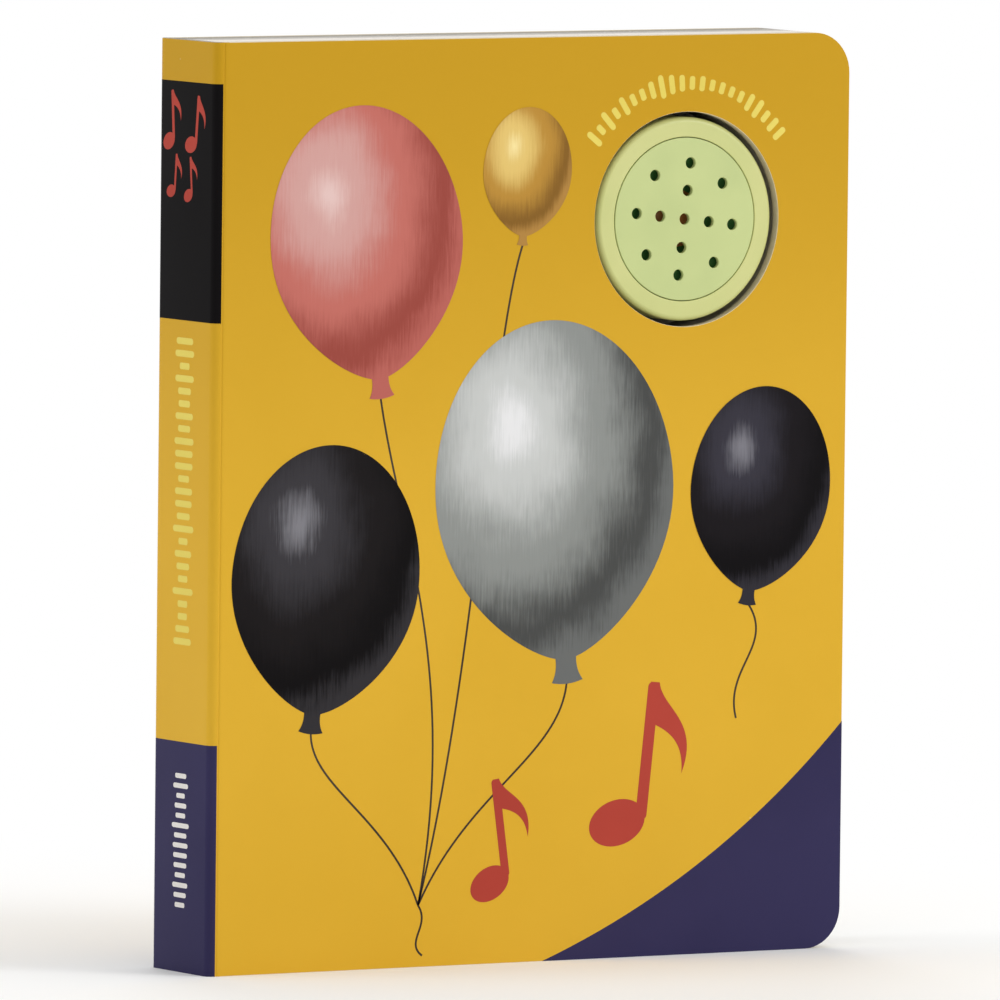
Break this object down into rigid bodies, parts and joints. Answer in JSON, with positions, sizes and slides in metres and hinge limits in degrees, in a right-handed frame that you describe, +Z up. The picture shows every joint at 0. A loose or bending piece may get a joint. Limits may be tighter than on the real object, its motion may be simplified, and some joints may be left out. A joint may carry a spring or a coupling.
{
  "type": "sound book",
  "caption": "Small board book with a thick spine, rounded fore-edge corners and a round press-to-play sound module sunk through a die-cut hole in the cover.",
  "frame": {"origin": "middle of the bottom edge, on the surface that the book stands on", "axes": "+X from the spine towards the fore edge, -Y out of the front cover, +Z up the page"},
  "size_m": [0.1436, 0.022, 0.18],
  "materials": {
    "printed_board": "ochre print under gloss film",
    "grey_board": "raw grey board",
    "page_board": "cut edges of coated board leaves",
    "navy_print": "gloss print",
    "black_print": "gloss print",
    "grey_print": "gloss print, airbrushed",
    "coral_print": "gloss print, airbrushed",
    "gold_print": "gloss print, airbrushed",
    "red_print": "gloss print",
    "bezel_plastic": "moulded, satin",
    "button_plastic": "moulded, satin",
    "rear_plastic": "moulded, matt",
    "steel": "nickel plated",
    "contact_metal": "plated spring strip",
    "ferrite": "sintered, matt",
    "copper": "enamelled copper wire",
    "cone_film": "thin formed film",
    "circuit": "solder mask",
    "resin": "cast resin drop",
    "rubber": "moulded",
    "red_wire": "insulated wire",
    "black_wire": "insulated wire"
  },
  "bodies": {
    "book_block": {"page_block": "page_board", "spine": "printed_board", "print_navy_spine": "navy_print", "print_black_spine": "black_print"},
    "front_cover": {"front_cover": "printed_board", "print_navy_corner": "navy_print", "print_grey_balloon": "grey_print", "print_black_balloon": "black_print", "print_coral_balloon": "coral_print", "print_gold_balloon": "gold_print", "print_small_black_balloon": "black_print", "print_large_note": "red_print", "print_small_note": "red_print"},
    "back_cover": {"back_cover": "printed_board", "backing_board": "grey_board", "module_bezel": "bezel_plastic", "module_rear_shell": "rear_plastic", "battery_door": "rear_plastic", "battery_door_screw": "steel", "housing_screw_1": "steel", "housing_screw_2": "steel", "housing_screw_3": "steel", "button_cell_1": "steel", "button_cell_2": "steel", "button_cell_3": "steel", "contact_minus": "contact_metal", "contact_plus": "contact_metal", "contact_bridge_front": "contact_metal", "contact_bridge_rear": "contact_metal", "circuit_board": "circuit", "chip_resin": "resin", "capacitor": "copper", "resistor": "resin", "return_spring": "steel", "speaker_lead_red": "red_wire", "speaker_lead_black": "black_wire"},
    "push_button": {"push_button": "button_plastic", "speaker_gasket": "rubber", "speaker_basket": "steel", "speaker_yoke": "steel", "speaker_magnet": "ferrite", "voice_coil": "copper", "speaker_cone": "cone_film", "dust_cap": "copper", "contact_pill": "rubber"}
  },
  "joints": [
    {"name": "front_cover_hinge", "type": "hinge", "parent": "book_block", "child": "front_cover", "pos_m": [-0.0699, -0.0109, 0.09], "axis": [0, 0, -1], "range_deg": [0, 175]},
    {"name": "back_cover_hinge", "type": "hinge", "parent": "book_block", "child": "back_cover", "pos_m": [-0.0699, 0.011, 0.09], "axis": [0, 0, 1], "range_deg": [0, 175]},
    {"name": "button_press", "type": "slide", "parent": "back_cover", "child": "push_button", "axis": [0, 1, 0], "range_m": [0, 0.0012], "stiffness_N_per_m": 800, "springref_m": -0.0005, "deforming": ["return_spring", "speaker_lead_red", "speaker_lead_black"]}
  ]
}
